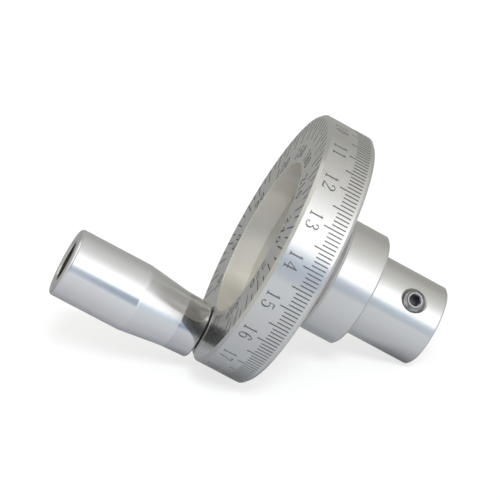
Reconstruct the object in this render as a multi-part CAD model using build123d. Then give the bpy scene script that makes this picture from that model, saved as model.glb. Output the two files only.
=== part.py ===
"""Graduated handwheel with a revolving handle and a clamping hub, in millimetres.

The wheel's axis is Z. The origin is the centre of the bore at the small hub's end, so the wheel stands on
that end with its graduated face and its handle upwards. The handle is on the -X side.
"""
import os
from build123d import *

# Wheel
wheel_diameter = 80.0
rim_width = 15.25
rim_chamfer = 0.9
recess_diameter = 48.0
recess_depth = 7.2
recess_chamfer = 0.2

# Neck, collar and hub behind the rim
neck_diameter = 20.0
neck_length = 6.25
collar_diameter = 35.0
collar_length = 12.25
hub_diameter = 25.0
hub_length = 22.65
hub_chamfer = 0.5
bore_diameter = 12.0
bore_chamfer = 0.5

# Set screw in the small hub
set_screw_diameter = 6.0
set_screw_length = 6.0
set_screw_chamfer = 0.8
set_screw_key_width = 3.0
set_screw_key_depth = 3.0
set_screw_height = 9.7
set_screw_angle = -47.0
set_screw_tip_gap = 1.2
cross_hole_mouth_diameter = 8.2

# Handle sleeve
handle_rim_distance = 5.0
sleeve_length = 44.2
sleeve_diameter = 21.2
sleeve_grip_length = 22.9
sleeve_foot_diameter = 17.2
sleeve_foot_top_diameter = 17.9
sleeve_foot_length = 8.4
sleeve_foot_blend_radius = 20.0
sleeve_foot_chamfer = 0.4
sleeve_end_edge_radius = 1.0
counterbore_diameter = 12.7
counterbore_depth = 14.0
counterbore_chamfer = 0.5

# Shoulder screw that the sleeve turns on
spindle_diameter = 8.0
spindle_head_diameter = 12.0
spindle_head_height = 6.0
spindle_head_chamfer = 0.6
spindle_key_width = 5.0
spindle_key_depth = 3.2
spindle_thread_diameter = 6.0
spindle_thread_length = 9.5
spindle_thread_chamfer = 0.6
key_mouth_margin = 0.25

# Clearances
thread_clearance = 0.05
running_clearance = 0.06
sleeve_foot_gap = 0.2
sleeve_end_play = 0.2
blind_hole_extra_depth = 1.0

# Heights and radii that follow
wheel_radius = wheel_diameter / 2
recess_radius = recess_diameter / 2
neck_radius = neck_diameter / 2
collar_radius = collar_diameter / 2
hub_radius = hub_diameter / 2
bore_radius = bore_diameter / 2
collar_top = hub_length + collar_length
rim_back = collar_top + neck_length
wheel_face = rim_back + rim_width
recess_floor = wheel_face - recess_depth
handle_offset = wheel_radius - handle_rim_distance
sleeve_radius = sleeve_diameter / 2
sleeve_foot_radius = sleeve_foot_diameter / 2
sleeve_foot_top_radius = sleeve_foot_top_diameter / 2
counterbore_radius = counterbore_diameter / 2
sleeve_floor = sleeve_length - counterbore_depth
sleeve_bore_radius = spindle_diameter / 2 + running_clearance
shoulder_screw_length = sleeve_foot_gap + sleeve_floor + sleeve_end_play

set_screw_place = Plane.XY.offset(set_screw_height) * Rot(0, 0, set_screw_angle) * Rot(0, 90, 0)
handle_place = Pos(-handle_offset, 0, wheel_face)


def turned(corners, rounded=()):
    """Revolve a half section about Z: corners are (radius, height), rounded holds (corner, radius) pairs."""
    outline = Polyline(*corners, close=True)
    section = make_face(outline)
    for corner, radius in rounded:
        nearest = section.vertices().sort_by_distance(corner)[0]
        section = fillet(nearest, radius)
    return revolve(Plane.XZ * section, Axis.Z)


def cylinder_between(radius, bottom, top):
    """A cylinder about Z between two heights."""
    return Pos(0, 0, bottom) * Cylinder(radius, top - bottom, align=(Align.CENTER, Align.CENTER, Align.MIN))


def key_socket(width, depth, top):
    """The hexagonal hole for a key, with a countersunk mouth, down from a height."""
    across_corners_radius = width / 3 ** 0.5
    hexagon = RegularPolygon(across_corners_radius, 6)
    hole = Pos(0, 0, top - depth) * extrude(hexagon, depth)
    mouth_radius = across_corners_radius + key_mouth_margin
    mouth_depth = mouth_radius - width / 2
    mouth = Cone(mouth_radius - mouth_depth, mouth_radius, mouth_depth, align=(Align.CENTER, Align.CENTER, Align.MAX))
    return hole + Pos(0, 0, top) * mouth


def make_wheel():
    """Rim, web, recess, neck, collar and hub in one turned piece, with its cross hole and its spindle hole."""
    corners = [
        (bore_radius + bore_chamfer, 0),
        (hub_radius - hub_chamfer, 0),
        (hub_radius, hub_chamfer),
        (hub_radius, hub_length),
        (collar_radius - hub_chamfer, hub_length),
        (collar_radius, hub_length + hub_chamfer),
        (collar_radius, collar_top - hub_chamfer),
        (collar_radius - hub_chamfer, collar_top),
        (neck_radius, collar_top),
        (neck_radius, rim_back),
        (wheel_radius - rim_chamfer, rim_back),
        (wheel_radius, rim_back + rim_chamfer),
        (wheel_radius, wheel_face - rim_chamfer),
        (wheel_radius - rim_chamfer, wheel_face),
        (recess_radius + recess_chamfer, wheel_face),
        (recess_radius, wheel_face - recess_chamfer),
        (recess_radius, recess_floor),
        (bore_radius + bore_chamfer, recess_floor),
        (bore_radius, recess_floor - bore_chamfer),
        (bore_radius, bore_chamfer),
    ]
    wheel = turned(corners)

    cross_hole_radius = set_screw_diameter / 2 + thread_clearance
    mouth_radius = cross_hole_mouth_diameter / 2
    mouth_depth = mouth_radius - cross_hole_radius
    cross_hole = cylinder_between(cross_hole_radius, 0, hub_radius)
    mouth = Cone(cross_hole_radius, mouth_radius, mouth_depth, align=(Align.CENTER, Align.CENTER, Align.MAX))
    wheel -= set_screw_place * (cross_hole + Pos(0, 0, hub_radius) * mouth)

    spindle_hole_radius = spindle_thread_diameter / 2 + thread_clearance
    spindle_hole_depth = spindle_thread_length + blind_hole_extra_depth
    wheel -= handle_place * cylinder_between(spindle_hole_radius, -spindle_hole_depth, 0)
    return wheel


def make_set_screw():
    """Socket set screw: its tip stops short of the bore, and its socket end stands a little out of the hub."""
    radius = set_screw_diameter / 2
    tip = bore_radius + set_screw_tip_gap
    head = tip + set_screw_length
    corners = [
        (0, tip),
        (radius - set_screw_chamfer, tip),
        (radius, tip + set_screw_chamfer),
        (radius, head - set_screw_chamfer),
        (radius - set_screw_chamfer, head),
        (0, head),
    ]
    screw = turned(corners) - key_socket(set_screw_key_width, set_screw_key_depth, head)
    return set_screw_place * screw


def make_handle_sleeve():
    """The grip: slightly flared foot, taper and fat cylinder, bored through and counterbored from its far end."""
    foot = sleeve_foot_gap
    end = foot + sleeve_length
    floor = foot + sleeve_floor
    corners = [
        (sleeve_bore_radius, foot),
        (sleeve_foot_radius - sleeve_foot_chamfer, foot),
        (sleeve_foot_radius, foot + sleeve_foot_chamfer),
        (sleeve_foot_top_radius, foot + sleeve_foot_length),
        (sleeve_radius, end - sleeve_grip_length),
        (sleeve_radius, end),
        (counterbore_radius + counterbore_chamfer, end),
        (counterbore_radius, end - counterbore_chamfer),
        (counterbore_radius, floor),
        (sleeve_bore_radius, floor),
    ]
    rounded = [
        ((sleeve_foot_top_radius, foot + sleeve_foot_length), sleeve_foot_blend_radius),
        ((sleeve_radius, end), sleeve_end_edge_radius),
    ]
    return handle_place * turned(corners, rounded)


def make_handle_spindle():
    """Shoulder screw: threaded end in the wheel, shoulder on its face, head in the sleeve's counterbore."""
    thread_radius = spindle_thread_diameter / 2
    shoulder = spindle_diameter / 2
    head_radius = spindle_head_diameter / 2
    head_top = shoulder_screw_length + spindle_head_height
    corners = [
        (0, -spindle_thread_length),
        (thread_radius - spindle_thread_chamfer, -spindle_thread_length),
        (thread_radius, -spindle_thread_length + spindle_thread_chamfer),
        (thread_radius, 0),
        (shoulder, 0),
        (shoulder, shoulder_screw_length),
        (head_radius, shoulder_screw_length),
        (head_radius, head_top - spindle_head_chamfer),
        (head_radius - spindle_head_chamfer, head_top),
        (0, head_top),
    ]
    screw = turned(corners) - key_socket(spindle_key_width, spindle_key_depth, head_top)
    return handle_place * screw


os.makedirs("parts", exist_ok=True)
export_step(make_wheel(), "parts/wheel.step")
export_step(make_set_screw(), "parts/set_screw.step")
export_step(make_handle_sleeve(), "parts/handle_sleeve.step")
export_step(make_handle_spindle(), "parts/handle_spindle.step")
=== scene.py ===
# %% [markdown]
# # A graduated handwheel
#
# The wheel, its grip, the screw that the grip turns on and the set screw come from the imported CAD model.
# This lesson gives them their metal, adds what a maker adds last, the two engraved scales and the screw's
# thread, and then lights and frames the whole.

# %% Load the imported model
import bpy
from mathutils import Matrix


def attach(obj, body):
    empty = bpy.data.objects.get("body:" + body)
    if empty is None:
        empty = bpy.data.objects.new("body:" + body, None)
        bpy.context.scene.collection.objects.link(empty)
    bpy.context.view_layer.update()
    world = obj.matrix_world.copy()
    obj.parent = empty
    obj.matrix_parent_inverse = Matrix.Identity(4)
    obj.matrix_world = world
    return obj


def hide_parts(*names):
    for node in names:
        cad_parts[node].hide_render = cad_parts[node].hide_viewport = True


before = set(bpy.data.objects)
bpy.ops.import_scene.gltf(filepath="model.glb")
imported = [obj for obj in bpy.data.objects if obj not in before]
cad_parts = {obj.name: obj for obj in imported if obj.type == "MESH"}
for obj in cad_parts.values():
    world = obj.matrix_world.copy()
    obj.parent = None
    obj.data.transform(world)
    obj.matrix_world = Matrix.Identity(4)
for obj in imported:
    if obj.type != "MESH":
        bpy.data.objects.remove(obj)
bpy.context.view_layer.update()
print("pieces from the CAD model:", sorted(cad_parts))

# %% [markdown]
# ## The camera
#
# The camera could be placed by eye, but the engraved lines would then never fall where they should. Here
# its place and its three directions are known, so they go straight into the camera's matrix: right, up,
# and backward, because a Blender camera looks along its own -Z.

# %% Place the camera
import bpy
from mathutils import Matrix, Vector

camera_place = Vector((0.210972, -0.578526, 0.172821))
camera_right = Vector((0.500356, 0.012614, -0.865728))
camera_up = Vector((0.794651, 0.390306, 0.464963))
focal_length_in_frame_widths = 2178.03 / 500
sensor_width = 36.0

camera_data = bpy.data.cameras.new("camera")
camera_data.sensor_fit = "HORIZONTAL"
camera_data.sensor_width = sensor_width
camera_data.lens = focal_length_in_frame_widths * sensor_width
camera_data.clip_start = 0.01
camera = bpy.data.objects.new("camera", camera_data)
axes = Matrix((camera_right, camera_up, camera_right.cross(camera_up))).transposed()
camera.matrix_world = Matrix.Translation(camera_place) @ axes.to_4x4()
bpy.context.scene.collection.objects.link(camera)
bpy.context.scene.camera = camera
print("lens in mm:", round(camera_data.lens, 1))

# %% [markdown]
# ## Helpers for shader nodes
#
# Every material below is a small network of nodes. Four short helpers keep the cells easy to read: one
# adds a node with its properties, one links a socket or gives it a value, one does a step of arithmetic
# and one stretches 0 to 1 over another range.

# %% Node helpers
import math


def add_node(tree, kind, **properties):
    """Add a shader node of a kind, with its properties set."""
    node = tree.nodes.new("ShaderNode" + kind)
    for name, value in properties.items():
        setattr(node, name, value)
    return node


def plug(tree, socket, value):
    """Link a socket to an output, or give it a plain value."""
    if isinstance(value, bpy.types.NodeSocket):
        tree.links.new(value, socket)
    else:
        socket.default_value = value


def calculate(tree, operation, *values):
    """One step of arithmetic on numbers or outputs."""
    node = add_node(tree, "Math", operation=operation)
    for socket, value in zip(node.inputs, values):
        plug(tree, socket, value)
    return node.outputs[0]


def remap(tree, value, low, high):
    """Turn 0 to 1 into low to high."""
    node = add_node(tree, "MapRange")
    plug(tree, node.inputs["Value"], value)
    node.inputs["To Min"].default_value = low
    node.inputs["To Max"].default_value = high
    return node.outputs["Result"]


# %% [markdown]
# ## The studio that the metal sees
#
# Bare metal has hardly any look of its own: it shows the room. A uniform white room would make it flat,
# and a photograph of a room would have to be stored somewhere. So the room is a ring of soft tones round
# the wheel's axis, worked out from the direction of each ray: a bright softbox in front, a cool table on
# one side and a warm ceiling on the other. A colour ramp holds the tones, read by compass angle. Oval
# openings in the ring hold what only some faces show: the dark room round the lens and a second softbox
# above it, which the wheel's face throws back onto the grip's foot and taper, a side window, the narrow
# dark gap under the first softbox, and a warm panel overhead. Only the camera sees plain white instead.

# %% Tones of the room
room_tones = [
    (-180, (0.44, 0.46, 0.49)),
    (-154, (0.50, 0.51, 0.54)),
    (-122, (0.60, 0.62, 0.65)),
    (-92, (0.68, 0.72, 0.76)),
    (-80, (0.80, 0.88, 0.97)),
    (-71, (1.05, 1.17, 1.30)),
    (-66, (1.34, 1.43, 1.50)),
    (-60, (1.62, 1.66, 1.70)),
    (-50, (1.75, 1.75, 1.75)),
    (-40, (1.70, 1.70, 1.70)),
    (-32, (1.48, 1.48, 1.48)),
    (-24, (1.20, 1.20, 1.20)),
    (-10, (0.84, 0.83, 0.81)),
    (6, (0.66, 0.65, 0.62)),
    (22, (0.56, 0.55, 0.52)),
    (38, (0.46, 0.455, 0.43)),
    (54, (0.38, 0.375, 0.35)),
    (100, (0.38, 0.375, 0.355)),
    (138, (0.28, 0.29, 0.31)),
    (158, (0.33, 0.345, 0.37)),
    (180, (0.44, 0.46, 0.49)),
]
overhead_tone = (0.52, 0.51, 0.46)
overhead_starts = 0.55
overhead_full = 0.9
underfoot_tone = (0.55, 0.55, 0.55)
underfoot_full = -0.85
underfoot_ends = -0.5
print("tones round the room:", len(room_tones))


# %% A ring of tones
def fill_ramp(ramp, stops):
    """Put (position, colour) stops into a colour ramp that has two to start with."""
    while len(ramp.elements) < len(stops):
        ramp.elements.new(0.5)
    for element, (position, colour) in zip(ramp.elements, stops):
        element.position = position
        element.color = (*colour, 1.0)


world = bpy.data.worlds.new("studio")
world.use_nodes = True
room = world.node_tree
room.nodes.clear()

ray_direction = add_node(room, "TexCoord").outputs["Generated"]
split = add_node(room, "SeparateXYZ")
plug(room, split.inputs[0], ray_direction)
compass = calculate(room, "ARCTAN2", split.outputs["Y"], split.outputs["X"])
compass = calculate(room, "MULTIPLY_ADD", compass, 1 / (2 * math.pi), 0.5)
ring = add_node(room, "ValToRGB")
plug(room, ring.inputs["Fac"], compass)
fill_ramp(ring.color_ramp, [((angle + 180) / 360, tone) for angle, tone in room_tones])
print("stops on the ring:", len(ring.color_ramp.elements))


# %% Openings in the room
def opening_share(azimuth, elevation, half_width, half_height, softness):
    """1 inside an oval opening of the room's wall and 0 outside it, all in degrees."""
    across = calculate(room, "MULTIPLY_ADD", compass, 360 / half_width, -(180 + azimuth) / half_width)
    rise = calculate(room, "ARCSINE", split.outputs["Z"])
    rise = calculate(room, "MULTIPLY_ADD", rise, math.degrees(1) / half_height, -elevation / half_height)
    square = calculate(room, "MULTIPLY_ADD", rise, rise, calculate(room, "MULTIPLY", across, across))
    share = add_node(room, "MapRange", interpolation_type="SMOOTHSTEP")
    plug(room, share.inputs["Value"], square)
    share.inputs["From Min"].default_value = 1 + softness
    share.inputs["From Max"].default_value = 1 - softness
    return share.outputs["Result"]


def with_opening(surroundings, tone, azimuth, elevation, half_width, half_height, softness=0.25):
    """Replace a part of the room's tone by the tone of an opening."""
    mix = add_node(room, "Mix", data_type="RGBA")
    plug(room, mix.inputs["Factor"], opening_share(azimuth, elevation, half_width, half_height, softness))
    plug(room, mix.inputs["A"], surroundings)
    mix.inputs["B"].default_value = (*tone, 1.0)
    return mix.outputs["Result"]


dark_room_round_lens = {"tone": (0.34, 0.335, 0.32), "azimuth": -35, "elevation": 11,
                        "half_width": 92, "half_height": 9.5}
lens_opening = {"tone": (0.03, 0.03, 0.029), "azimuth": -55, "elevation": 9.5,
                "half_width": 40, "half_height": 11.5}
upper_softbox = {"tone": (1.85, 1.85, 1.85), "azimuth": -18, "elevation": 30,
                 "half_width": 46, "half_height": 8.5}
side_window = {"tone": (0.95, 0.95, 0.93), "azimuth": -7, "elevation": 16,
               "half_width": 9, "half_height": 6}
gap_under_softbox = {"tone": (0.08, 0.14, 0.26), "azimuth": -78, "elevation": -11,
                     "half_width": 14, "half_height": 4.6, "softness": 0.6}
ceiling_panel = {"tone": (0.76, 0.74, 0.66), "azimuth": 35, "elevation": 60,
                 "half_width": 45, "half_height": 16}
wall_openings = (dark_room_round_lens, lens_opening, upper_softbox, side_window, gap_under_softbox)

room_tone = ring.outputs["Color"]
for opening in wall_openings:
    room_tone = with_opening(room_tone, **opening)
print("openings in the wall:", len(wall_openings))


# %% Ceiling and floor of the room
def blend_by_height(lower, upper, start, end):
    """Mix two tones between two heights of the ray's direction."""
    share = add_node(room, "MapRange", interpolation_type="SMOOTHSTEP")
    plug(room, share.inputs["Value"], split.outputs["Z"])
    share.inputs["From Min"].default_value = start
    share.inputs["From Max"].default_value = end
    mix = add_node(room, "Mix", data_type="RGBA")
    plug(room, mix.inputs["Factor"], share.outputs["Result"])
    plug(room, mix.inputs["A"], lower)
    plug(room, mix.inputs["B"], upper)
    return mix.outputs["Result"]


room_tone = blend_by_height(room_tone, (*overhead_tone, 1.0), overhead_starts, overhead_full)
room_tone = with_opening(room_tone, **ceiling_panel)
room_tone = blend_by_height((*underfoot_tone, 1.0), room_tone, underfoot_full, underfoot_ends)
print("nodes for the room's tones:", len(room.nodes))

# %% Show the room to the metal and white to the camera
seen_by_metal = add_node(room, "Background")
plug(room, seen_by_metal.inputs["Color"], room_tone)
seen_by_camera = add_node(room, "Background")
seen_by_camera.inputs["Color"].default_value = (1, 1, 1, 1)
rays = add_node(room, "LightPath")
choice = add_node(room, "MixShader")
plug(room, choice.inputs["Fac"], rays.outputs["Is Camera Ray"])
plug(room, choice.inputs[1], seen_by_metal.outputs[0])
plug(room, choice.inputs[2], seen_by_camera.outputs[0])
plug(room, add_node(room, "OutputWorld").inputs["Surface"], choice.outputs[0])
bpy.context.scene.world = world
bpy.context.scene.view_settings.view_transform = "Standard"
print("the world is the", world.name)

# %% [markdown]
# ## Table and lamp
#
# The wheel lies on a pale table as it would come to rest: on the back edge of its rim and the edge of its
# hub, with the grip down. So the table isn't level in the model's own frame, and it is turned here
# instead of the wheel. It is one large sheet, as bright as the white behind it, so no edge shows, and it
# still takes the object's soft shadow. Seen from below it is clear, so it hides nothing from any side. In
# the metal's reflections it is clear too, so the metal shows the room, but it dims the room close to
# where the wheel touches it, because a real table is in shade there. One soft lamp, a little above the
# camera, throws the shadow behind the wheel.

# %% Pale table
import bmesh


def mesh_object(name, bm):
    """Turn a bmesh into an object in the scene."""
    mesh = bpy.data.meshes.new(name)
    bm.to_mesh(mesh)
    bm.free()
    piece = bpy.data.objects.new(name, mesh)
    bpy.context.scene.collection.objects.link(piece)
    return piece


table_reach = 8.0
table_gap = 0.00002
hub_edge = Vector((-0.0125, 0, 0.0005))
rim_edge = Vector((-0.04, 0, 0.04205))
table_up = Vector((0, 1, 0)).cross(rim_edge - hub_edge).normalized()
table_turn = table_up.to_track_quat("Z", "Y").to_matrix().to_4x4()
table_place = Matrix.Translation(hub_edge - table_up * table_gap) @ table_turn
table_bm = bmesh.new()
bmesh.ops.create_grid(table_bm, x_segments=8, y_segments=8, size=table_reach, matrix=table_place)
table = mesh_object("table", table_bm)
print("the table leans by degrees:", round(math.degrees(table_up.angle(Vector((0, 0, 1))))))

# %% Paint of the table
table_paint = (0.9, 0.9, 0.9, 1)
table_glow_share = 0.7
contact_reach = 0.009
darkest_contact = 0.25

table_material = bpy.data.materials.new("pale table")
table_material.use_nodes = True
tree = table_material.node_tree
tree.nodes.clear()
paint = add_node(tree, "BsdfDiffuse")
paint.inputs["Color"].default_value = table_paint
glow = add_node(tree, "Emission")
glow.inputs["Color"].default_value = (1, 1, 1, 1)
glow.inputs["Strength"].default_value = 1.0
share = calculate(tree, "MULTIPLY", add_node(tree, "LightPath").outputs["Is Camera Ray"], table_glow_share)
mix = add_node(tree, "MixShader")
plug(tree, mix.inputs["Fac"], share)
plug(tree, mix.inputs[1], paint.outputs[0])
plug(tree, mix.inputs[2], glow.outputs[0])
nearness = add_node(tree, "AmbientOcclusion", samples=8)
nearness.inputs["Distance"].default_value = contact_reach
contact_shade = add_node(tree, "BsdfTransparent")
plug(tree, contact_shade.inputs["Color"], remap(tree, nearness.outputs["AO"], darkest_contact, 1.0))
mirrored = add_node(tree, "MixShader")
plug(tree, mirrored.inputs["Fac"], add_node(tree, "LightPath").outputs["Is Glossy Ray"])
plug(tree, mirrored.inputs[1], mix.outputs[0])
plug(tree, mirrored.inputs[2], contact_shade.outputs[0])
clear_below = add_node(tree, "MixShader")
plug(tree, clear_below.inputs["Fac"], add_node(tree, "NewGeometry").outputs["Backfacing"])
plug(tree, clear_below.inputs[1], mirrored.outputs[0])
plug(tree, clear_below.inputs[2], add_node(tree, "BsdfTransparent").outputs[0])
plug(tree, add_node(tree, "OutputMaterial").inputs["Surface"], clear_below.outputs[0])
table.data.materials.append(table_material)
print("nodes in the table's material:", len(tree.nodes))

# %% Soft key light
towards_light = Vector((0.65, -0.72, 0.23)).normalized()
lamp_width = math.radians(16)

lamp_data = bpy.data.lights.new("key light", "SUN")
lamp_data.energy = 3.0
lamp_data.angle = lamp_width
lamp_data.color = (0.95, 0.98, 1.0)
lamp = bpy.data.objects.new("key light", lamp_data)
lamp.rotation_euler = towards_light.to_track_quat("Z", "Y").to_euler()
lamp.visible_glossy = False
bpy.context.scene.collection.objects.link(lamp)
above_table = math.degrees(math.asin(towards_light.dot(table_up)))
print("the lamp stands above the table by degrees:", round(above_table))

# %% [markdown]
# ## Turned metal
#
# Every face of this part was cut on a lathe, so its marks are rings round an axis: fine grooves on the
# cylinders, fine circles on the flat faces. A picture of such marks would need the surface laid out flat.
# Noise needs no layout: it is read at the distance from the axis and at the height, both stretched a
# thousandfold, and hardly changes on the way round. The same grooves spread a highlight across
# themselves, which is what the shader's anisotropy does when its tangent runs round the axis.
#
# One tool doesn't leave one finish everywhere. The recess and the neck are duller and more clouded, the
# flat face is finer, and the grip's foot, taper and barrel each took the polish in their own way. So a
# metal has zones, told apart by their distance from the axis and their height, which change its gloss,
# haze and tint. Haze is the share of the light that a surface scatters like paint instead of mirroring
# it. Some tints are painted shade: the recess floor, the grip's foot and the grip's barrel are tinted
# darker to stand in for shade and to dim what they reflect. The set screw has three steels: its socket is
# painted dark as the shade in the hole, and its end and the crests of its thread are painted light as
# highlights.

# %% Lathe marks as noise
def lathe_marks(tree, axis_x, pitch, drift):
    """Noise that changes from groove to groove and hardly on the way round the axis."""
    place = add_node(tree, "TexCoord").outputs["Object"]
    moved = add_node(tree, "VectorMath", operation="SUBTRACT")
    plug(tree, moved.inputs[0], place)
    moved.inputs[1].default_value = (axis_x, 0, 0)
    flat = add_node(tree, "VectorMath", operation="MULTIPLY")
    plug(tree, flat.inputs[0], moved.outputs["Vector"])
    flat.inputs[1].default_value = (1, 1, 0)
    reach = add_node(tree, "VectorMath", operation="LENGTH")
    plug(tree, reach.inputs[0], flat.outputs["Vector"])
    heading = add_node(tree, "VectorMath", operation="NORMALIZE")
    plug(tree, heading.inputs[0], flat.outputs["Vector"])
    turn = add_node(tree, "SeparateXYZ")
    plug(tree, turn.inputs[0], heading.outputs["Vector"])
    height = add_node(tree, "SeparateXYZ")
    plug(tree, height.inputs[0], place)

    where = add_node(tree, "CombineXYZ")
    plug(tree, where.inputs["X"], calculate(tree, "DIVIDE", reach.outputs["Value"], pitch))
    plug(tree, where.inputs["Y"], calculate(tree, "MULTIPLY", turn.outputs["X"], drift))
    plug(tree, where.inputs["Z"], calculate(tree, "MULTIPLY", turn.outputs["Y"], drift))
    noise = add_node(tree, "TexNoise", noise_dimensions="4D")
    plug(tree, noise.inputs["Vector"], where.outputs["Vector"])
    plug(tree, noise.inputs["W"], calculate(tree, "DIVIDE", height.outputs["Z"], pitch))
    noise.inputs["Scale"].default_value = 1.0
    noise.inputs["Detail"].default_value = 2.0
    return noise.outputs["Fac"], reach.outputs["Value"], height.outputs["Z"]


def cloudy(tree, size, detail=2.0):
    """Soft blotches of about a size in metres, the same from all sides."""
    noise = add_node(tree, "TexNoise")
    plug(tree, noise.inputs["Vector"], add_node(tree, "TexCoord").outputs["Object"])
    noise.inputs["Scale"].default_value = 1 / size
    noise.inputs["Detail"].default_value = detail
    return noise.outputs["Fac"]


# %% One recipe for all the metals
def within(tree, value, low, high):
    """1 between two limits and 0 outside them."""
    return calculate(tree, "COMPARE", value, (low + high) / 2, (high - low) / 2)


def zone(reach, height, rougher_by=0.0, haze=0.0, tint=(1.0, 1.0, 1.0)):
    """Where a metal differs: between two distances from its axis and two heights, in metres."""
    return {"reach": reach, "height": height, "rougher_by": rougher_by, "haze": haze, "tint": tint}


blotch_size = 0.012
mark_drift = 1.5
quarter_turn = 0.25


def metal(name, tones, roughness, stretch, marks, grain, axis_x=0.0, haze=0.0, zones=()):
    """A metal between two tones and two roughnesses. Marks and grain are (size, depth) in metres."""
    material = bpy.data.materials.new(name)
    material.use_nodes = True
    tree = material.node_tree
    shader = tree.nodes["Principled BSDF"]

    blotches = cloudy(tree, blotch_size)
    colour = add_node(tree, "Mix", data_type="RGBA")
    plug(tree, colour.inputs["Factor"], blotches)
    colour.inputs["A"].default_value = (*tones[0], 1)
    colour.inputs["B"].default_value = (*tones[1], 1)
    base_colour = colour.outputs["Result"]

    pitch, groove_depth = marks
    grooves, reach, height = lathe_marks(tree, axis_x, pitch, mark_drift)
    uneven = calculate(tree, "MULTIPLY_ADD", grooves, 0.5, calculate(tree, "MULTIPLY", blotches, 0.5))
    texture = remap(tree, uneven, *roughness)
    metallic = 1.0 - haze
    for area in zones:
        near_enough = within(tree, reach, *area["reach"])
        inside = calculate(tree, "MULTIPLY", near_enough, within(tree, height, *area["height"]))
        texture = calculate(tree, "MULTIPLY_ADD", inside, area["rougher_by"], texture)
        metallic = calculate(tree, "MULTIPLY_ADD", inside, haze - area["haze"], metallic)
        tinted = add_node(tree, "Mix", data_type="RGBA", blend_type="MULTIPLY")
        plug(tree, tinted.inputs["Factor"], inside)
        plug(tree, tinted.inputs["A"], base_colour)
        tinted.inputs["B"].default_value = (*area["tint"], 1)
        base_colour = tinted.outputs["Result"]
    plug(tree, shader.inputs["Metallic"], metallic)
    plug(tree, shader.inputs["Roughness"], texture)
    plug(tree, shader.inputs["Base Color"], base_colour)

    bump = add_node(tree, "Bump")
    bump.inputs["Distance"].default_value = groove_depth
    plug(tree, bump.inputs["Height"], grooves)
    grain_size, grain_depth = grain
    fine = add_node(tree, "Bump")
    fine.inputs["Distance"].default_value = grain_depth
    plug(tree, fine.inputs["Height"], cloudy(tree, grain_size))
    plug(tree, fine.inputs["Normal"], bump.outputs["Normal"])
    plug(tree, shader.inputs["Normal"], fine.outputs["Normal"])

    shader.inputs["Anisotropic"].default_value = stretch
    shader.inputs["Anisotropic Rotation"].default_value = quarter_turn
    round_axis = add_node(tree, "Tangent", direction_type="RADIAL", axis="Z")
    plug(tree, shader.inputs["Tangent"], round_axis.outputs["Tangent"])
    return material


# %% Metal of the wheel
recess_wall = zone((0.0235, 0.0243), (0.04922, 0.0566), rougher_by=0.12, haze=0.15, tint=(1.0, 0.965, 0.91))
# painted shade: the recess floor's metal is tinted darker and warmer, as the hollow lies in shade
recess_floor_painted_shade = zone((0.0, 0.0243), (0.04915, 0.04922), haze=0.03, tint=(0.77, 0.76, 0.72))
neck_and_shoulder = zone((0.009, 0.0174), (0.0346, 0.0412), rougher_by=0.2, haze=0.3)
flat_face = zone((0.0243, 0.0391), (0.05635, 0.05645), rougher_by=-0.1, haze=0.02)

satin_aluminium = metal(
    "satin anodised aluminium",
    tones=((0.79, 0.79, 0.78), (0.82, 0.82, 0.81)),
    roughness=(0.21, 0.27),
    stretch=0.9,
    marks=(0.00014, 0.0000006),
    grain=(0.00012, 0.0000005),
    haze=0.03,
    zones=(recess_wall, recess_floor_painted_shade, neck_and_shoulder, flat_face),
)
print(satin_aluminium.name, "has nodes:", len(satin_aluminium.node_tree.nodes))

# %% Metals of the grip and its spindle
grip_axis_x = -0.035
grip_taper = zone((0.008, 0.0107), (0.0641, 0.0772), rougher_by=0.15, haze=0.05)
# painted shade: the barrel is tinted darker to dim its reflections; its extra roughness and haze are its own
# finish
grip_barrel_painted_shade = zone((0.0103, 0.0107), (0.0772, 0.1012), rougher_by=0.03, haze=0.16, tint=(0.88, 0.88, 0.88))
# painted shade: the grip's foot is tinted darker, standing in for the shade it reflects beside the wheel's
# face
grip_foot_painted_shade = zone((0.008, 0.0092), (0.0566, 0.0641), haze=0.01, tint=(0.9, 0.9, 0.9))

polished_aluminium = metal(
    "fine turned and polished aluminium",
    tones=((0.80, 0.80, 0.81), (0.83, 0.83, 0.84)),
    roughness=(0.07, 0.11),
    stretch=0.7,
    marks=(0.0001, 0.0000002),
    grain=(0.0003, 0.0000002),
    axis_x=grip_axis_x,
    haze=0.01,
    zones=(grip_taper, grip_barrel_painted_shade, grip_foot_painted_shade),
)
bare_steel = metal(
    "bare steel of the spindle",
    tones=((0.48, 0.47, 0.46), (0.54, 0.53, 0.52)),
    roughness=(0.28, 0.38),
    stretch=0.3,
    marks=(0.00012, 0.0000006),
    grain=(0.0002, 0.0000005),
    axis_x=grip_axis_x,
)
print("metals of grip and spindle:", polished_aluminium.name, "and", bare_steel.name)

# %% Three steels for the set screw
# painted shade: the socket's steel is coloured near black to stand in for the shade inside the hex hole
shade_painted_steel = metal(
    "steel painted dark as shade in the set screw's socket",
    tones=((0.17, 0.16, 0.18), (0.23, 0.22, 0.24)),
    roughness=(0.3, 0.42),
    stretch=0.0,
    marks=(0.00012, 0.0000004),
    grain=(0.00015, 0.0000006),
)
dull_steel = metal(
    "dull steel of the set screw",
    tones=((0.33, 0.32, 0.325), (0.42, 0.41, 0.415)),
    roughness=(0.25, 0.35),
    stretch=0.0,
    marks=(0.00012, 0.0000004),
    grain=(0.00015, 0.0000006),
)
# painted highlight: a lighter steel on the screw's end and on its thread's crests
highlight_painted_steel = metal(
    "set screw steel painted light as highlights",
    tones=((0.58, 0.57, 0.57), (0.70, 0.69, 0.69)),
    roughness=(0.22, 0.32),
    stretch=0.0,
    marks=(0.00012, 0.0000003),
    grain=(0.00015, 0.0000004),
)
steels = [shade_painted_steel, dull_steel, highlight_painted_steel]
print("steels of the set screw:", [steel.name for steel in steels])


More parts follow.
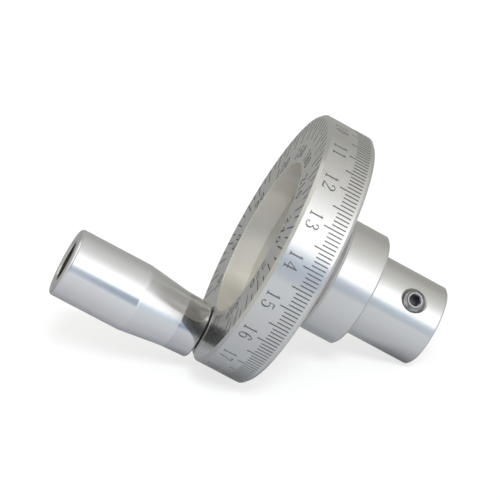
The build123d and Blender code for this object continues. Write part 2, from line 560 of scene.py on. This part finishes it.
# %% Give the CAD pieces their metals
def finish_node(name, material):
    """Give a CAD piece its material."""
    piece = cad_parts[name]
    piece.data.materials.clear()
    piece.data.materials.append(material)
    print(name, "is", material.name)


finish_node("wheel", satin_aluminium)
finish_node("handle_sleeve", polished_aluminium)
finish_node("handle_spindle", bare_steel)

# %% [markdown]
# ## Numerals cut with a pen
#
# The numbers on the real scales are engraved roman numerals: thick stems, thin joins, small feet and
# round ends. Blender's own font has none of these. So each numeral is drawn as an engraver would: a few
# pen strokes, each a line of points with its own width, and dots for the round ends. A smooth curve runs
# through the points, a ribbon of small four-sided pieces follows the curve, and one triangulation merges
# all the ribbons of a numeral into one outline. All sizes in this part are in millimetres.

# %% Smooth pen strokes
from mathutils.geometry import delaunay_2d_cdt


def smooth(points, steps=7):
    """A Catmull-Rom curve through (x, y, width) points."""
    ends = [points[0]] + list(points) + [points[-1]]
    curve = []
    for before, start, end, after in zip(ends, ends[1:], ends[2:], ends[3:]):
        for step in range(steps):
            t = step / steps
            curve.append(tuple(
                s + 0.5 * t * (e - b + t * (2 * b - 5 * s + 4 * e - a + t * (3 * s - b - 3 * e + a)))
                for b, s, e, a in zip(before, start, end, after)
            ))
    return curve + [tuple(points[-1])]


def ribbon(curve):
    """Four-sided pieces along a curve of (x, y, width)."""
    sides = []
    for index, (x, y, width) in enumerate(curve):
        behind = curve[max(index - 1, 0)]
        ahead = curve[min(index + 1, len(curve) - 1)]
        along = Vector((ahead[0] - behind[0], ahead[1] - behind[1])).normalized()
        across = Vector((-along.y, along.x)) * width / 2
        sides.append((Vector((x, y)) + across, Vector((x, y)) - across))
    return [(right, next_right, next_left, left)
            for (left, right), (next_left, next_right) in zip(sides, sides[1:])]


def dot(x, y, radius, corners=14):
    """A round end."""
    turns = [2 * math.pi * corner / corners for corner in range(corners)]
    return [tuple(Vector((x + radius * math.cos(turn), y + radius * math.sin(turn))) for turn in turns)]


def loop(x, y, half_width, half_height, thick, thin, corners=36):
    """A closed oval stroke, thick at its sides and thin at its top and foot."""
    points = []
    for corner in range(corners + 1):
        turn = 2 * math.pi * corner / corners
        width = thin + (thick - thin) * abs(math.cos(turn)) ** 1.5
        points.append((x + half_width * math.cos(turn), y + half_height * math.sin(turn), width))
    return ribbon(points)


# %% Ten numerals
thick = 0.5
thin = 0.26
numeral_height = 4.0
six_stroke = [(0.72, 3.35, thin), (0.42, 3.82, 0.26), (-0.08, 3.86, 0.26), (-0.62, 3.3, 0.38),
              (-0.87, 2.4, thick), (-0.88, 1.5, thick), (-0.7, 0.62, 0.4), (-0.25, 0.14, 0.26),
              (0.2, 0.12, thin), (0.68, 0.5, 0.36), (0.84, 1.2, thick), (0.68, 1.9, 0.38),
              (0.22, 2.32, 0.24), (-0.3, 2.2, thin), (-0.75, 1.6, 0.2)]


def turned_over(points):
    """The same stroke upside down, which makes a nine of a six."""
    return [(-x, numeral_height - y, width) for x, y, width in points]


numeral_strokes = {
    "0": loop(0, 2, 0.82, 1.86, thick, thin),
    "1": ribbon([(0, 0.1, 0.42), (0, 3.98, 0.42)])
         + ribbon([(-0.62, 0.1, thin), (0.62, 0.1, thin)])
         + ribbon(smooth([(-0.62, 3.32, 0.16), (-0.3, 3.5, 0.24), (0.05, 3.86, 0.3)])),
    "2": ribbon(smooth([(-0.83, 2.95, thin), (-0.7, 3.55, 0.26), (-0.15, 3.86, 0.24), (0.5, 3.68, 0.34),
                        (0.8, 3.05, thick), (0.55, 2.3, 0.4), (-0.05, 1.45, 0.28), (-0.6, 0.8, 0.24),
                        (-0.9, 0.2, 0.22)]))
         + ribbon(smooth([(-0.9, 0.22, 0.4), (0.0, 0.22, 0.42), (0.7, 0.24, 0.42), (0.95, 0.95, 0.14)]))
         + dot(-0.68, 3.0, 0.25),
    "3": ribbon(smooth([(-0.76, 3.2, thin), (-0.52, 3.7, 0.26), (0.0, 3.88, 0.24), (0.52, 3.62, 0.36),
                        (0.68, 3.08, thick), (0.42, 2.52, 0.32), (-0.2, 2.24, 0.2)]))
         + ribbon(smooth([(-0.2, 2.24, 0.2), (0.48, 2.06, 0.32), (0.86, 1.42, thick), (0.8, 0.72, thick),
                          (0.36, 0.22, 0.3), (-0.18, 0.12, 0.24), (-0.68, 0.34, 0.24), (-0.88, 0.82, thin)]))
         + dot(-0.6, 3.2, 0.22) + dot(-0.7, 0.82, 0.24),
    "4": ribbon([(0.42, 3.95, 0.26), (-0.98, 1.2, 0.24)])
         + ribbon([(-1.02, 1.18, 0.26), (1.02, 1.18, 0.26)])
         + ribbon([(0.42, 0.1, 0.42), (0.42, 3.98, 0.42)])
         + ribbon([(-0.12, 0.1, thin), (0.96, 0.1, thin)]),
    "5": ribbon(smooth([(-0.66, 3.78, 0.34), (0.1, 3.72, 0.38), (0.72, 3.9, 0.2)]))
         + ribbon([(-0.66, 3.9, 0.2), (-0.78, 2.1, 0.2)])
         + ribbon(smooth([(-0.78, 2.1, 0.2), (-0.4, 2.44, 0.24), (0.14, 2.54, 0.28), (0.66, 2.16, 0.4),
                          (0.86, 1.4, thick), (0.72, 0.68, 0.4), (0.28, 0.2, 0.3), (-0.2, 0.12, 0.24),
                          (-0.68, 0.34, 0.24), (-0.88, 0.82, thin)]))
         + dot(-0.7, 0.82, 0.24),
    "6": ribbon(smooth(six_stroke)) + dot(0.6, 3.28, 0.22),
    "7": ribbon(smooth([(-0.88, 3.1, 0.14), (-0.74, 3.68, 0.34), (-0.2, 3.8, 0.42), (0.4, 3.68, 0.34),
                        (0.88, 3.84, 0.2)]))
         + ribbon(smooth([(0.9, 3.9, 0.2), (0.45, 2.9, 0.26), (0.05, 1.9, 0.36), (-0.16, 1.0, 0.46),
                          (-0.2, 0.06, 0.5)])),
    "8": loop(0, 2.98, 0.62, 0.88, 0.38, thin) + loop(0, 1.12, 0.8, 1.0, thick, thin),
    "9": ribbon(smooth(turned_over(six_stroke))) + dot(-0.6, 0.72, 0.22),
}


def merged(polygons):
    """Merge overlapping polygons into (points, triangles), holes kept."""
    corners = []
    faces = []
    for polygon in polygons:
        faces.append(list(range(len(corners), len(corners) + len(polygon))))
        corners.extend(polygon)
    points, _, triangles, _, _, sources = delaunay_2d_cdt(corners, [], faces, 0, 0.0005)
    inside = [triangle for triangle, source in zip(triangles, sources) if source]
    return points, inside


numerals = {digit: merged(strokes) for digit, strokes in numeral_strokes.items()}
print("triangles in each numeral:", {digit: len(outline[1]) for digit, outline in numerals.items()})

# %% [markdown]
# ## Marks that follow the metal
#
# An engraved mark filled with dark lacquer lies flush in the metal. Cutting three hundred real grooves
# into the wheel would change the CAD piece, so each mark is a thin inlay instead: its outline is laid on
# the surface, given a little depth below it, and stands a hundredth of a millimetre proud, enough to be
# seen and too little to be felt. Laying it on is a function from the flat drawing to the wheel: one for
# the rim, which bends the drawing round the cylinder, and one for the face.

# %% Lay a flat drawing on rim or face
millimetre = 0.001
wheel_radius = 40.0
wheel_face = 56.4
mark_proud = 0.014
mark_depth = 0.05


def on_rim(azimuth, foot_height):
    """Bend a drawing round the rim: its up is towards the hub, its right is clockwise from the front."""
    def place(x, y, rise):
        angle = math.radians(azimuth) - x / wheel_radius
        radius = wheel_radius + rise
        return Vector((radius * math.cos(angle), radius * math.sin(angle), foot_height - y))
    return place


def on_face(azimuth, foot_radius):
    """Lay a drawing on the face: its up is outward, its right is clockwise from the front."""
    outward = Vector((math.cos(math.radians(azimuth)), math.sin(math.radians(azimuth)), 0))
    clockwise = Vector((outward.y, -outward.x, 0))

    def place(x, y, rise):
        return outward * (foot_radius + y) + clockwise * x + Vector((0, 0, wheel_face + rise))
    return place


def inlay(bm, outline, place):
    """Add one mark: its top, its underside and its walls."""
    points, triangles = outline
    tops = [bm.verts.new(place(x, y, mark_proud) * millimetre) for x, y in points]
    feet = [bm.verts.new(place(x, y, -mark_depth) * millimetre) for x, y in points]
    edges = {(triangle[i], triangle[i - 2]) for triangle in triangles for i in range(3)}
    for triangle in triangles:
        bm.faces.new([tops[i] for i in triangle])
        bm.faces.new([feet[i] for i in reversed(triangle)])
    for start, end in edges:
        if (end, start) not in edges:
            bm.faces.new([tops[end], tops[start], feet[start], feet[end]])


def line_outline(length, width=0.38, corners=5):
    """An engraved line with round ends, its foot at the origin."""
    half = width / 2
    turns = [math.pi * corner / corners for corner in range(corners + 1)]
    foot = [Vector((-half * math.cos(turn), half - half * math.sin(turn))) for turn in turns]
    head = [Vector((half * math.cos(turn), length - half + half * math.sin(turn))) for turn in turns]
    return merged([tuple(foot + head)])


# %% [markdown]
# ## Lacquer in the engraving
#
# The fill is dark and a little metallic, because the floor of each cut is bare metal that darkened: under
# the softbox the lines turn pale, and in the shade they are nearly black. The rim's fill is worn thin and
# has a gloss. The face's fill is thick, black and dull.

# %% Dark fill
fill_metal = 0.9
fill_roughness = (0.38, 0.55)
coat_roughness = 0.3
sheen_share = 0.2
patch_size = 0.0006
patch_detail = 3.0
patch_depth = 0.000004


def dark_fill(name, dark, light, gloss):
    """Worn dark lacquer over metal, uneven along each mark."""
    material = bpy.data.materials.new(name)
    material.use_nodes = True
    tree = material.node_tree
    shader = tree.nodes["Principled BSDF"]
    shader.inputs["Metallic"].default_value = fill_metal
    shader.inputs["Coat Weight"].default_value = gloss
    shader.inputs["Coat Roughness"].default_value = coat_roughness
    shader.inputs["Sheen Weight"].default_value = gloss * sheen_share
    patches = cloudy(tree, patch_size, patch_detail)
    colour = add_node(tree, "Mix", data_type="RGBA")
    plug(tree, colour.inputs["Factor"], patches)
    colour.inputs["A"].default_value = (dark, dark, dark, 1)
    colour.inputs["B"].default_value = (light, light, light, 1)
    plug(tree, shader.inputs["Base Color"], colour.outputs["Result"])
    plug(tree, shader.inputs["Roughness"], remap(tree, patches, *fill_roughness))
    bump = add_node(tree, "Bump")
    bump.inputs["Distance"].default_value = patch_depth
    plug(tree, bump.inputs["Height"], patches)
    plug(tree, shader.inputs["Normal"], bump.outputs["Normal"])
    return material


rim_fill = dark_fill("lacquer in the rim's scale", dark=0.13, light=0.22, gloss=0.6)
face_fill = dark_fill("lacquer in the face's scale", dark=0.04, light=0.09, gloss=0.0)
print("fills:", rim_fill.name, "and", face_fill.name)


def finish_marks(name, bm, fill):
    """Turn the marks into a piece of the wheel."""
    bmesh.ops.recalc_face_normals(bm, faces=bm.faces)
    print(name, "has", len(bm.faces), "faces")
    piece = mesh_object(name, bm)
    piece.data.materials.append(fill)
    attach(piece, "wheel")


# %% [markdown]
# ## The scale round the rim
#
# Twenty numbered parts, ten divisions in each, so two hundred lines. Every fifth line is longer and every
# tenth one carries a number. The numbers count up clockwise as seen from the front, from zero beside the
# grip, and their tops point at the lines.

# %% Rim lines
rim_divisions = 200
rim_line_foot = 42.9
rim_zero_azimuth = 180.0
rim_short_length = 4.4
rim_long_length = 6.4

rim_lines_bm = bmesh.new()
for division in range(rim_divisions):
    length = rim_short_length if division % 5 else rim_long_length
    azimuth = rim_zero_azimuth - 360 * division / rim_divisions
    inlay(rim_lines_bm, line_outline(length), on_rim(azimuth, rim_line_foot + length))
finish_marks("rim_lines", rim_lines_bm, rim_fill)

# %% Rim numbers
numeral_advance = 3.1
rim_number_foot = 54.23


def write_number(bm, number, place_digit):
    """Write a number. place_digit gives the place of a digit at a distance right of the middle."""
    text = str(number)
    for index, digit in enumerate(text):
        offset = (index - (len(text) - 1) / 2) * numeral_advance
        inlay(bm, numerals[digit], place_digit(offset))


rim_numbers = 20
rim_numbers_bm = bmesh.new()
for number in range(rim_numbers):
    azimuth = rim_zero_azimuth - 360 * number / rim_numbers
    write_number(
        rim_numbers_bm, number,
        lambda offset: on_rim(azimuth - math.degrees(offset / wheel_radius), rim_number_foot),
    )
finish_marks("rim_numbers", rim_numbers_bm, rim_fill)

# %% [markdown]
# ## The scale on the face
#
# The face is divided into degrees: a line every five, a longer one every ten, and a number every thirty,
# tops outward. The zero lies under the grip's foot.

# %% Face lines
face_line_end = 38.6
face_short_length = 3.7
face_long_length = 7.1

face_lines_bm = bmesh.new()
for degree in range(0, 360, 5):
    length = face_short_length if degree % 10 else face_long_length
    inlay(face_lines_bm, line_outline(length), on_face(rim_zero_azimuth - degree, face_line_end - length))
finish_marks("face_lines", face_lines_bm, face_fill)

# %% Face numbers
face_number_foot = 25.7
face_number_middle = 27.7

face_numbers_bm = bmesh.new()
for degree in range(0, 360, 30):
    azimuth = rim_zero_azimuth - degree
    write_number(
        face_numbers_bm, degree,
        lambda offset: on_face(azimuth - math.degrees(offset / face_number_middle), face_number_foot),
    )
finish_marks("face_numbers", face_numbers_bm, face_fill)

# %% [markdown]
# ## The set screw and its thread
#
# The set screw stands a little out of the hub, and the first turns of its thread show in the countersunk
# hole. The CAD piece is a plain cylinder of the thread's outer size. Here it is built again with a real
# thread: a stack of rings, each ring a little further along the screw, and each point of a ring as far
# out as the thread is at that turn. The same stack goes on over the chamfer, down the countersunk mouth
# and down the walls of the hexagon.

# %% Shape of the screw
screw_radius = 3.0
screw_root_radius = 2.42
screw_pitch = 1.0
thread_flat = 0.12
screw_chamfer = 0.8
screw_tip = 7.2
screw_head = 13.2
key_width = 3.0
key_depth = 3.0
key_mouth_radius = 1.96
key_mouth_depth = 0.3
# beyond this radius the crests get the painted highlight steel
highlight_crest_radius = 2.93
flat_margin = 0.01
ring_corners = 60
rings_per_turn = 10


def thread_radius(turn, along):
    """Distance of the thread's surface from the axis, at a turn in radians and a place along the screw."""
    phase = (along / screw_pitch - turn / (2 * math.pi)) % 1.0
    slope = 1 - abs(2 * phase - 1)
    shape = min(max((slope - thread_flat) / (1 - 2 * thread_flat), 0.0), 1.0)
    radius = screw_root_radius + (screw_radius - screw_root_radius) * shape
    from_end = min(along - screw_tip, screw_head - along)
    return min(radius, screw_radius - screw_chamfer + from_end)


def hexagon_radius(turn):
    """Distance of a hexagon's outline from its middle."""
    return key_width / 2 / math.cos((turn % (math.pi / 3)) - math.pi / 6)


def ring_points(radius_at, along):
    """One ring of (x, y, z) about the screw's own axis."""
    points = []
    for corner in range(ring_corners):
        turn = 2 * math.pi * corner / ring_corners
        radius = radius_at(turn)
        points.append((radius * math.cos(turn), radius * math.sin(turn), along))
    return points


steps = round((screw_head - screw_tip) / screw_pitch * rings_per_turn)
screw_rings = []
for step in range(steps + 1):
    along = screw_tip + (screw_head - screw_tip) * step / steps
    screw_rings.append(ring_points(lambda turn: thread_radius(turn, along), along))
screw_rings.append(ring_points(lambda turn: key_mouth_radius, screw_head))
screw_rings.append(ring_points(hexagon_radius, screw_head - key_mouth_depth))
screw_rings.append(ring_points(hexagon_radius, screw_head - key_depth))
print("rings of the screw:", len(screw_rings))


# %% Skin the rings
def skin(rings):
    """A closed mesh over a stack of rings, with a flat cap at each end."""
    bm = bmesh.new()
    stack = [[bm.verts.new(Vector(point) * millimetre) for point in points] for points in rings]
    for lower, upper in zip(stack, stack[1:]):
        for corner in range(ring_corners):
            bm.faces.new([lower[corner - 1], lower[corner], upper[corner], upper[corner - 1]])
    bm.faces.new(list(reversed(stack[0])))
    bm.faces.new(stack[-1])
    return bm


set_screw_azimuth = math.radians(-47)
set_screw_height = 0.0097
set_screw = mesh_object("threaded_set_screw", skin(screw_rings))
outward = Matrix.Rotation(set_screw_azimuth, 4, "Z") @ Matrix.Rotation(math.pi / 2, 4, "Y")


def steel_of(middle):
    """The steel of a facet: painted dark as shade in the socket, painted light as highlights on the end and
    the crests, else dull.
    """
    from_axis = math.hypot(middle.x, middle.y)
    # painted shade inside the socket
    if from_axis < key_mouth_radius and middle.z > screw_tip + flat_margin:
        return shade_painted_steel
    # painted highlight on the end and on the thread's crests
    on_end = middle.z > screw_head - flat_margin and from_axis > key_mouth_radius
    if on_end or from_axis > highlight_crest_radius:
        return highlight_painted_steel
    return dull_steel


for face in set_screw.data.polygons:
    face.material_index = steels.index(steel_of(face.center / millimetre))
for steel in steels:
    set_screw.data.materials.append(steel)
set_screw.data.transform(Matrix.Translation((0, 0, set_screw_height)) @ outward)
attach(set_screw, "wheel")
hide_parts("set_screw")
print("set screw faces:", len(set_screw.data.polygons))
